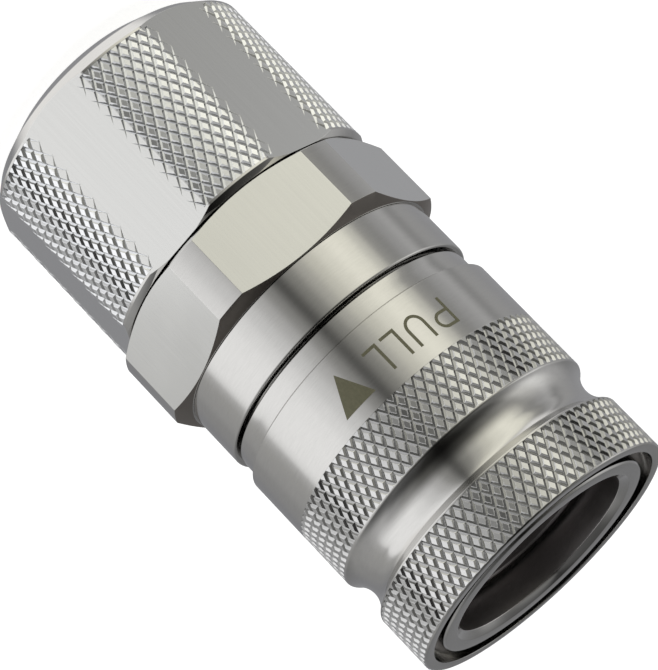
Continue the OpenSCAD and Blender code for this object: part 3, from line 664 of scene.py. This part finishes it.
class COUPLING_OT_sleeve_marks(bpy.types.Operator):
    """Marks the word and the arrow that say which way to pull the sleeve"""
    bl_idname = "coupling.sleeve_marks"
    bl_label = "Sleeve marks"

    turn: FloatProperty(name="Turned by", default=math.radians(-76.7), subtype="ANGLE",
                        description="Angle round the axis that the marks are measured from")
    stroke: length("Stroke", "Width of the lettering's strokes", 0.25 * MM)

    def strokes(self):
        """The word's letters as open lines of (degrees, mm above the letters' feet)."""
        cap, past = 2.3, 0.13
        top = cap + past
        stem, bowl_at, bowl_reach, bowl_r = -39.2, -35.2, 2.9, 0.64
        bowl = [(-37.2, cap)] + [(bowl_at + bowl_reach * math.sin(math.radians(a)),
                                 cap - bowl_r + bowl_r * math.cos(math.radians(a)))
                                for a in range(0, 181, 15)] + [(stem, cap - 2 * bowl_r)]
        u_middle, u_reach, dip = -24.9, 3.5, 0.85
        cup = [(u_middle + u_reach * math.cos(math.radians(a)),
                dip - dip * math.sin(math.radians(a))) for a in range(180, -1, -12)]
        return [[(stem, -past), (stem, cap)] + bowl,
                [(u_middle - u_reach, top)] + cup + [(u_middle + u_reach, top)],
                [(-17.1, top), (-17.1, 0), (-11.3, 0)],
                [(-8.8, top), (-8.8, 0), (-3.2, 0)]]

    def execute(self, context):
        outer = SLEEVE[1].x
        feet = SLEEVE[0].z + 4.25 * MM
        lift = 0.008 * MM
        bm = bmesh.new()

        def on_sleeve(across, up):
            a = self.turn + across / outer
            return bm.verts.new(((outer + lift) * math.cos(a), (outer + lift) * math.sin(a),
                                 feet + up))

        # Each line is cut up every 0.2 mm, so that it follows the sleeve, and then widened
        for line in self.strokes():
            points = [Vector((math.radians(a) * outer, h * MM)) for a, h in line]
            fine = [points[0]]
            for p in points[1:]:
                if (p - fine[-1]).length > 1e-6:
                    step = (p - fine[-1]) / max(1, round((p - fine[-1]).length / (0.2 * MM)))
                    while (p - fine[-1]).length > step.length * 1.5:
                        fine.append(fine[-1] + step)
                    fine.append(p)
            sides = []
            for i, p in enumerate(fine):
                before = (p - fine[i - 1]).normalized() if i else (fine[1] - p).normalized()
                after = (fine[i + 1] - p).normalized() if i + 1 < len(fine) else before
                way = (before + after).normalized()
                reach = self.stroke / 2 / max(0.5, way.dot(before))
                off = Vector((-way.y, way.x)) * reach
                sides.append((on_sleeve(*(p + off)), on_sleeve(*(p - off))))
            for (a, b), (c, d) in zip(sides, sides[1:]):
                bm.faces.new((a, b, d, c))
        # Arrow head that points to the rear
        base, tip = 2.6 * MM, -0.5 * MM
        left, right, point = (math.radians(a) * outer for a in (1.5, 16.3, 8.7))
        rows = 12
        grid = []
        for j in range(rows + 1):
            t = j / rows
            a = left + (point - left) * t
            b = right + (point - right) * t
            up = base + (tip - base) * t
            grid.append([on_sleeve(a + (b - a) * k / rows, up) for k in range(rows + 1)]
                        if j < rows else [on_sleeve(point, tip)] * (rows + 1))
        for low, high in zip(grid, grid[1:]):
            for k in range(rows):
                corners = [low[k], low[k + 1], high[k + 1], high[k]]
                bm.faces.new(list(dict.fromkeys(corners)))
        bmesh.ops.recalc_face_normals(bm, faces=bm.faces)
        for face in bm.faces:
            if face.normal.dot(Vector((face.calc_center_median().x,
                                       face.calc_center_median().y, 0))) < 0:
                face.normal_flip()
        piece = as_object(bm, "sleeve_marks")
        piece.data.materials.append(finish("laser_oxide"))
        piece.data.shade_smooth()
        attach(piece, "sleeve")
        return {"FINISHED"}


class COUPLING_OT_compression_nut(bpy.types.Operator):
    """Builds the knurled compression nut with its six spanner flats"""
    bl_idname = "coupling.compression_nut"
    bl_label = "Compression nut"

    def execute(self, context):
        s, knurl = context.scene.coupling_nut, context.scene.coupling_knurl
        rear, front = NUT[0].z, NUT[1].z + s.reach
        outer = s.diameter / 2
        core = outer - knurl.depth - 0.03 * MM
        low = rear + s.cone_length + s.rear_chamfer + s.smooth_land
        high = front - s.front_chamfer - s.smooth_land
        hole, thread = s.tube_hole / 2, s.thread / 2
        swell = hole + 0.7 * MM
        throat = front - 9.7 * MM
        profile = softened(
            [(s.end_diameter / 2, rear, 0.05 * MM),
             (outer - s.rear_chamfer, rear + s.cone_length, 0.12 * MM),
             (outer, rear + s.cone_length + s.rear_chamfer, 0.05 * MM), (outer, low),
             (core, low), (core, high), (outer, high),
             (outer, front - s.front_chamfer, 0.04 * MM),
             (outer - s.front_chamfer, front, 0.04 * MM),
             (thread + 0.4 * MM, front), (thread, front - 0.4 * MM),
             (thread, throat + thread - swell), (swell, throat), (swell, rear + 4.6 * MM),
             (hole, rear + 3.9 * MM), (hole, rear + 0.2 * MM, 0.05 * MM),
             (hole + 0.2 * MM, rear, 0.04 * MM)])
        blank = as_object(turned(profile), "knurled_compression_nut")
        crest, bury, wall = outer - 0.01 * MM, 0.03 * MM, 0.5 * MM
        ring = knurled(crest, low - bury, high + bury, knurl.nut_count, knurl, core - wall)
        combined(blank, as_object(ring, "knurl"), "UNION")
        past = 1 * MM
        flats = prism(s.flats, rear - past, front + past, s.turn)
        combined(blank, as_object(flats, "flats"), "INTERSECT")
        mark_flats(blank, s.flats / 2, s.turn)
        for face in blank.data.polygons:
            ground = face.center.xy.length > core - 0.01 * MM
            if face.material_index == 0 and low < face.center.z < high and ground:
                face.material_index = 2
        finished(blank, "nut", ["compression_nut"],
                 [finish("polished_bar"), finish("milled_flat"), finish("burnished_knurl")])
        return {"FINISHED"}


class COUPLING_OT_hexagon_flange(bpy.types.Operator):
    """Builds the hexagon flange with its threaded collar and barb"""
    bl_idname = "coupling.hexagon_flange"
    bl_label = "Hexagon flange"

    def execute(self, context):
        s = context.scene.coupling_body
        tip, front = FLANGE[0].z, FLANGE[1].z
        rear = front - s.flange - s.flange_reach
        drop = (s.corner - s.face) / 2 * math.tan(math.radians(30))
        broken = 0.05 * MM
        collar = rear - 7.6 * MM
        chamfer = 0.5 * MM
        barb, count, height, plain = s.barb / 2, 3, 0.6 * MM, 0.6 * MM
        ridge = (collar - tip - plain) / count
        ridges = []
        for i in range(count):
            ridges += [(barb - (0.4 * MM if i == 0 else 0), tip + i * ridge),
                       (barb + height, tip + (i + 0.8) * ridge, broken),
                       (barb, tip + (i + 0.85) * ridge)]
        # Inside, from the front: O-ring groove, bore for the spigot, spider's seat, water way
        ring_r, ring_floor, spigot_r, spider_r = 10.94 * MM, front - 1.04 * MM, 10 * MM, 8.95 * MM
        seat = 0.02 * MM
        spigot, spider = BODY[0].z - seat, SPIDER[0].z - seat
        passage, bore = 5.375 * MM, barb - 1 * MM
        throat = SPIDER[0].z - 3 * MM
        profile = softened(
            ridges + [(barb, collar), (s.thread / 2 - chamfer, collar, broken),
                      (s.thread / 2, collar + chamfer, broken), (s.thread / 2, rear),
                      (s.face / 2, rear, broken), (s.corner / 2, rear + drop, broken),
                      (s.corner / 2, front - drop, broken), (s.face / 2, front, broken),
                      (ring_r, front), (ring_r, ring_floor),
                      (spigot_r, ring_floor), (spigot_r, spigot),
                      (spider_r, spigot), (spider_r, spider),
                      (passage, spider), (passage, throat),
                      (bore, throat - (passage - bore)), (bore, tip, 0.1 * MM)])
        blank = as_object(turned(profile), "turned_hexagon_flange")
        past = 1 * MM
        flats = prism(s.flats, tip - past, front + past, 0)
        combined(blank, as_object(flats, "flats"), "INTERSECT")
        mark_flats(blank, s.flats / 2, 0)
        for face in blank.data.polygons:
            outside = face.center.xy.length > ring_r + 0.06 * MM
            if face.material_index == 0 and front - drop < face.center.z < front and outside:
                face.material_index = 2
        finished(blank, "root", ["hex_adapter"],
                 [finish("polished_bar"), finish("milled_flat"), finish("turned_chamfer")])
        return {"FINISHED"}


class COUPLING_OT_socket_body(bpy.types.Operator):
    """Builds the socket body with its shoulder, nose, mouth and ball holes"""
    bl_idname = "coupling.socket_body"
    bl_label = "Socket body"

    def execute(self, context):
        s = context.scene.coupling_body
        spigot, nose = BODY[0].z, BODY[1].z
        front = FLANGE[1].z
        neck = front + s.shoulder_length
        ball = (BALL[0].z + BALL[1].z) / 2
        bore, nose_r, chamfer = s.bore / 2, s.nose / 2, 0.15 * MM
        chamber, stop = 8.9 * MM, nose - 10.1 * MM
        relief, relief_end = KEEPER[1].z + 0.05 * MM, ball + 1.48 * MM
        play = 0.02 * MM
        spigot_r, spigot_chamfer = 9.9 * MM, 0.3 * MM
        ring_floor, ring_low, ring_high = 9.5 * MM, RING[0].z - play, RING[1].z + play
        edge = s.shoulder / 2 - s.shoulder_round
        recess_r, recess = 11 * MM, neck - s.shoulder_recess
        profile = softened(
            [(chamber, spigot), (spigot_r - spigot_chamfer, spigot),
             (spigot_r, spigot + spigot_chamfer),
             (spigot_r, front + play), (s.shoulder / 2, front + play, 0.04 * MM)]
            + arc((edge, neck - s.shoulder_round), s.shoulder_round, 0, math.pi / 2, 12)
            + [(recess_r, neck), (recess_r, recess),
               (nose_r, recess), (nose_r, ring_low),
               (ring_floor, ring_low), (ring_floor, ring_high),
               (nose_r, ring_high), (nose_r, nose - chamfer, 0.04 * MM),
               (nose_r - chamfer, nose, 0.06 * MM), (s.mouth / 2, nose, 0.08 * MM),
               (bore, nose - s.mouth_depth, 0.08 * MM), (bore, relief, 0.03 * MM),
               (s.relief / 2, relief), (s.relief / 2, relief_end),
               (bore, relief_end, 0.03 * MM), (bore, stop), (chamber, stop)])
        body = as_object(turned(profile), "turned_socket_body")
        holes, past, hole_r = 8, 1 * MM, 1.28 * MM
        for i in range(holes):
            a = (i + 0.5) * 2 * math.pi / holes
            way = Vector((math.cos(a), math.sin(a), 0))
            up = Vector((0, 0, ball))
            drill = rod(way * (bore - past) + up, way * (nose_r + past) + up, hole_r)
            combined(body, as_object(drill, "drill"), "DIFFERENCE")
        for face in body.data.polygons:
            inside = face.center.xy.length < s.relief / 2 + 0.01 * MM
            face.material_index = int(inside and face.center.z < nose - s.mouth_depth)
        finished(body, "root", ["socket_body"],
                 [finish("polished_bar"), finish("satin_bore")])
        return {"FINISHED"}


class COUPLING_OT_springs(bpy.types.Operator):
    """Winds the three springs from round wire"""
    bl_idname = "coupling.springs"
    bl_label = "Springs"

    def wound(self, name, node, turns, wire, body):
        """A spring between the ends of its node, with a flat turn at each end."""
        low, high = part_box(node)
        radius = (high.x - low.x) / 2 - wire / 2
        steps, sides = 48, 12
        rise = high.z - low.z - wire
        bm = bmesh.new()
        rings = []
        for i in range(turns * steps + 1):
            t = i / steps
            a = 2 * math.pi * t
            z = low.z + wire / 2 + rise * min(1, max(0, (t - 0.5) / (turns - 1)))
            rings.append([bm.verts.new((
                (radius + wire / 2 * math.cos(b)) * math.cos(a),
                (radius + wire / 2 * math.cos(b)) * math.sin(a),
                z + wire / 2 * math.sin(b)))
                for b in (2 * math.pi * k / sides for k in range(sides))])
        for here, after in zip(rings, rings[1:]):
            for k in range(sides):
                n = (k + 1) % sides
                bm.faces.new((here[k], here[n], after[n], after[k]))
        bm.faces.new(rings[0])
        bm.faces.new(rings[-1])
        bmesh.ops.recalc_face_normals(bm, faces=bm.faces)
        piece = as_object(bm, name)
        piece.data.materials.append(finish("drawn_wire"))
        piece.data.shade_smooth()
        piece.data.set_sharp_from_angle(angle=math.radians(50))
        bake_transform(piece)
        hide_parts(node)

    def execute(self, context):
        self.wound("wound_sleeve_spring", "sleeve_spring", 6, 0.7 * MM, "sleeve")
        self.wound("wound_keeper_spring", "keeper_spring", 4, 0.8 * MM, "keeper")
        self.wound("wound_valve_spring", "valve_spring", 8, 0.8 * MM, "valve")
        return {"FINISHED"}


class COUPLING_OT_inner_parts(bpy.types.Operator):
    """Finishes the valve, the keeper, the balls and the seals"""
    bl_idname = "coupling.inner_parts"
    bl_label = "Valve, balls and seals"

    def execute(self, context):
        dress("satin_bore", "valve_stem", "stem_spider", "stem_nut", "valve_guide",
              "valve_sleeve", "ball_keeper", "retaining_ring")
        dress("ground_ball", *(f"locking_ball_{i}" for i in range(1, 9)))
        dress("moulded_seal", "body_seal", "stem_seal", "face_seal", "valve_sleeve_seal")
        return {"FINISHED"}


# ---- Stage ----

# What the steel mirrors, as (degrees round from the camera, brightness, warmth). White panels
# stand to the left and right, with a dark gap towards the camera and grey room behind them.
LOW_LIGHT = [(-180, 0.3, -0.3), (-150, 0.34, -0.3), (-122, 0.4, 0), (-112, 0.32, 0),
             (-101, 0.5, 0), (-92, 0.42, 0), (-82, 0.33, 0.2), (-74, 0.38, 0.4), (-67, 0.72, 0.8),
             (-58, 1.04, 1), (-49, 1.12, 1), (-38, 0.96, 1), (-29, 0.76, 1), (-20, 0.53, 0.8),
             (-10, 0.29, 0.6), (0, 0.1, 0.4), (10, 0.33, 0.3), (19, 0.58, 0.1), (30, 0.8, 0),
             (41, 0.99, 0), (51, 1.1, 0), (64, 1.13, 0), (82, 1.1, 0), (88, 1.0, 0),
             (94, 0.52, 0.1), (102, 0.43, 0.2), (114, 0.4, 0.1), (132, 0.32, 0), (155, 0.26, -0.4),
             (180, 0.3, -0.3)]
HIGH_LIGHT = [(-180, 0.14, 0), (-150, 0.2, 0), (-128, 0.5, 0), (-106, 0.95, 0.1),
              (-88, 0.74, 0.3), (-68, 0.32, 0.4), (-47, 0.19, 0.6), (-24, 0.07, 0.8),
              (0, 0.02, 0.4), (24, 0.11, 0.6), (47, 0.28, 0.2), (66, 0.38, 0), (82, 0.54, 0),
              (92, 0.5, 0), (106, 0.4, 0), (128, 0.36, 0.1), (150, 0.2, 0), (180, 0.14, 0)]


class COUPLING_OT_stage(bpy.types.Operator):
    """Sets the floor, the light and the camera"""
    bl_idname = "coupling.stage"
    bl_label = "Stage"

    def world(self, context, facing, across):
        """A white room for the camera; for the steel, white panels with a dark gap."""
        room = bpy.data.worlds.new("studio")
        context.scene.world = room
        room.use_nodes = True
        tree = room.node_tree
        tree.nodes.clear()
        way = add(tree, "ShaderNodeTexCoord").outputs["Generated"]
        height = add(tree, "ShaderNodeSeparateXYZ", {0: way}).outputs[2]
        ahead = add(tree, "ShaderNodeVectorMath", {0: way, 1: facing}, operation="DOT_PRODUCT")
        beside = add(tree, "ShaderNodeVectorMath", {0: way, 1: across}, operation="DOT_PRODUCT")
        # Below the horizon the panels reach further round towards the back
        below = add(tree, "ShaderNodeMapRange", {"Value": height, "From Min": -0.3,
                                                 "From Max": -1.0, "To Max": 0.85})
        squared = add(tree, "ShaderNodeMath", {0: beside.outputs["Value"],
                                               1: beside.outputs["Value"]}, operation="MULTIPLY")
        forward = add(tree, "ShaderNodeMath", {0: below.outputs["Result"],
                                               1: squared.outputs[0],
                                               2: ahead.outputs["Value"]},
                      operation="MULTIPLY_ADD")
        round_angle = add(tree, "ShaderNodeMath", {0: beside.outputs["Value"],
                                                   1: forward.outputs[0]},
                          operation="ARCTAN2")
        share = add(tree, "ShaderNodeMapRange", {"Value": round_angle.outputs[0],
                                                 "From Min": -math.pi, "From Max": math.pi})
        panels = []
        for stops in (LOW_LIGHT, HIGH_LIGHT):
            ramp = add(tree, "ShaderNodeValToRGB", {"Fac": share.outputs["Result"]})
            ramp.color_ramp.interpolation = "EASE"
            marks = ramp.color_ramp.elements
            for place, (degrees, level, warmth) in enumerate(stops):
                ends = {0: 0, len(stops) - 1: -1}
                mark = (marks[ends[place]] if place in ends
                        else marks.new((degrees + 180) / 360))
                mark.color = (level, level * (1 - 0.015 * warmth), level * (1 - 0.13 * warmth), 1)
            panels.append(ramp.outputs["Color"])
        up = add(tree, "ShaderNodeMapRange", {"Value": height, "From Min": -0.2,
                                              "From Max": 0.62}, interpolation_type="SMOOTHSTEP")
        level = add(tree, "ShaderNodeMix", {0: up.outputs["Result"], 6: panels[0],
                                            7: panels[1]}, data_type="RGBA")
        top = add(tree, "ShaderNodeMapRange", {"Value": height, "From Min": 0.55,
                                               "From Max": 0.87, "To Min": 1.0,
                                               "To Max": 0.25}, interpolation_type="SMOOTHSTEP")
        # A white sheet lies under the coupling, behind the line straight down from the camera
        deep = add(tree, "ShaderNodeMapRange", {"Value": height, "From Min": -0.66,
                                                "From Max": -0.82},
                   interpolation_type="SMOOTHSTEP")
        behind = add(tree, "ShaderNodeMapRange", {"Value": ahead.outputs["Value"],
                                                  "From Min": 0.12, "From Max": -0.1},
                     interpolation_type="SMOOTHSTEP")
        sheet = add(tree, "ShaderNodeMath", {0: deep.outputs["Result"],
                                             1: behind.outputs["Result"]}, operation="MULTIPLY")
        laid = add(tree, "ShaderNodeMix", {0: sheet.outputs[0], 6: level.outputs[2],
                                           7: (1.05, 1.04, 1.02, 1)}, data_type="RGBA")
        seen = add(tree, "ShaderNodeVectorMath", {0: laid.outputs[2],
                                                  "Scale": top.outputs["Result"]},
                   operation="SCALE")
        ray = add(tree, "ShaderNodeLightPath").outputs
        open_view = add(tree, "ShaderNodeMath", {0: ray["Is Camera Ray"],
                                                 1: ray["Is Transmission Ray"]},
                        operation="MAXIMUM")
        shown = add(tree, "ShaderNodeMix", {0: open_view.outputs[0], 6: seen.outputs["Vector"],
                                            7: (1, 1, 1, 1)}, data_type="RGBA")
        light = add(tree, "ShaderNodeBackground", {"Color": shown.outputs[2], "Strength": 1.0})
        add(tree, "ShaderNodeOutputWorld", {"Surface": light.outputs[0]})

    def floor(self):
        """A plain white floor that shows white and keeps the object's soft shadow."""
        bm = bmesh.new()
        bmesh.ops.create_grid(bm, x_segments=1, y_segments=1, size=1.5)
        plane = as_object(bm, "studio_floor")
        under = 0.02 * MM
        plane.location.z = NUT[0].z - under
        plane.visible_glossy = False
        material, tree = new_material("white_floor")
        ray = add(tree, "ShaderNodeLightPath").outputs
        matt = add(tree, "ShaderNodeBsdfDiffuse", {"Color": (0.8, 0.8, 0.8, 1)})
        glow = add(tree, "ShaderNodeEmission", {"Color": (1, 1, 1, 1), "Strength": 0.75})
        lit = add(tree, "ShaderNodeAddShader", {0: matt.outputs[0], 1: glow.outputs[0]})
        surface = add(tree, "ShaderNodeMixShader", {0: ray["Is Camera Ray"],
                                                    1: matt.outputs[0], 2: lit.outputs[0]})
        closed(tree, surface.outputs[0])
        plane.data.materials.append(material)

    def lamp(self, name, place, size, power):
        """A soft lamp aimed at the middle of the coupling. It isn't mirrored in the steel."""
        middle = Vector((0, 0, 26 * MM))
        light = bpy.data.lights.new(name, "AREA")
        light.shape = "DISK"
        light.size = size
        light.energy = power
        made = bpy.data.objects.new(name, light)
        bpy.context.scene.collection.objects.link(made)
        made.location = place
        made.rotation_mode = "QUATERNION"
        made.rotation_quaternion = (middle - Vector(place)).to_track_quat("-Z", "Y")
        made.visible_glossy = False

    def execute(self, context):
        s = context.scene.coupling_studio
        facing = Vector((math.sin(s.azimuth), -math.cos(s.azimuth), 0))
        across = Vector((math.cos(s.azimuth), math.sin(s.azimuth), 0))
        self.world(context, facing, across)
        self.floor()
        self.lamp("top_softbox", (0.1, -0.15, 0.9), 0.8, s.power)
        aim = Vector((0, 0, s.aim))
        back = facing * math.cos(s.pitch) + Vector((0, 0, math.sin(s.pitch)))
        lens = bpy.data.cameras.new("camera")
        lens.sensor_fit = "HORIZONTAL"
        lens.sensor_width = 36.0
        lens.lens = s.lens
        lens.clip_start, lens.clip_end = 0.01, 10.0
        camera = bpy.data.objects.new("camera", lens)
        context.scene.collection.objects.link(camera)
        camera.location = aim + back * s.distance
        camera.rotation_mode = "QUATERNION"
        level = (-back).to_track_quat("-Z", "Y")
        camera.rotation_quaternion = level @ Quaternion((0, 0, 1), s.roll)
        context.scene.camera = camera
        context.scene.view_settings.view_transform = "Standard"
        return {"FINISHED"}


class COUPLING_PT_panel(bpy.types.Panel):
    """Lists the coupling's pieces and settings"""
    bl_idname = "COUPLING_PT_panel"
    bl_label = "Quick coupling"
    bl_space_type = "VIEW_3D"
    bl_region_type = "UI"
    bl_category = "Coupling"

    def draw(self, context):
        for operator in OPERATORS:
            self.layout.operator(operator.bl_idname)
        for name, group in GROUPS.items():
            box = self.layout.box()
            box.label(text=group.__doc__)
            settings = getattr(context.scene, name)
            for setting in group.__annotations__:
                box.prop(settings, setting)


GROUPS = {
    "coupling_knurl": CouplingKnurl,
    "coupling_sleeve": CouplingSleeve,
    "coupling_nut": CouplingNut,
    "coupling_body": CouplingBody,
    "coupling_finish": CouplingFinish,
    "coupling_studio": CouplingStudio,
}
OPERATORS = (
    COUPLING_OT_compression_nut,
    COUPLING_OT_hexagon_flange,
    COUPLING_OT_socket_body,
    COUPLING_OT_release_sleeve,
    COUPLING_OT_sleeve_marks,
    COUPLING_OT_springs,
    COUPLING_OT_inner_parts,
    COUPLING_OT_stage,
)


def register():
    for group in GROUPS.values():
        bpy.utils.register_class(group)
    for name, group in GROUPS.items():
        setattr(bpy.types.Scene, name, PointerProperty(type=group))
    for operator in OPERATORS:
        bpy.utils.register_class(operator)
    bpy.utils.register_class(COUPLING_PT_panel)


def unregister():
    bpy.utils.unregister_class(COUPLING_PT_panel)
    for operator in reversed(OPERATORS):
        bpy.utils.unregister_class(operator)
    for name in GROUPS:
        delattr(bpy.types.Scene, name)
    for group in reversed(GROUPS.values()):
        bpy.utils.unregister_class(group)


def main():
    register()
    bpy.ops.coupling.compression_nut()
    bpy.ops.coupling.hexagon_flange()
    bpy.ops.coupling.socket_body()
    bpy.ops.coupling.release_sleeve()
    bpy.ops.coupling.sleeve_marks()
    bpy.ops.coupling.springs()
    bpy.ops.coupling.inner_parts()
    bpy.ops.coupling.stage()


if __name__ == "__main__":
    main()
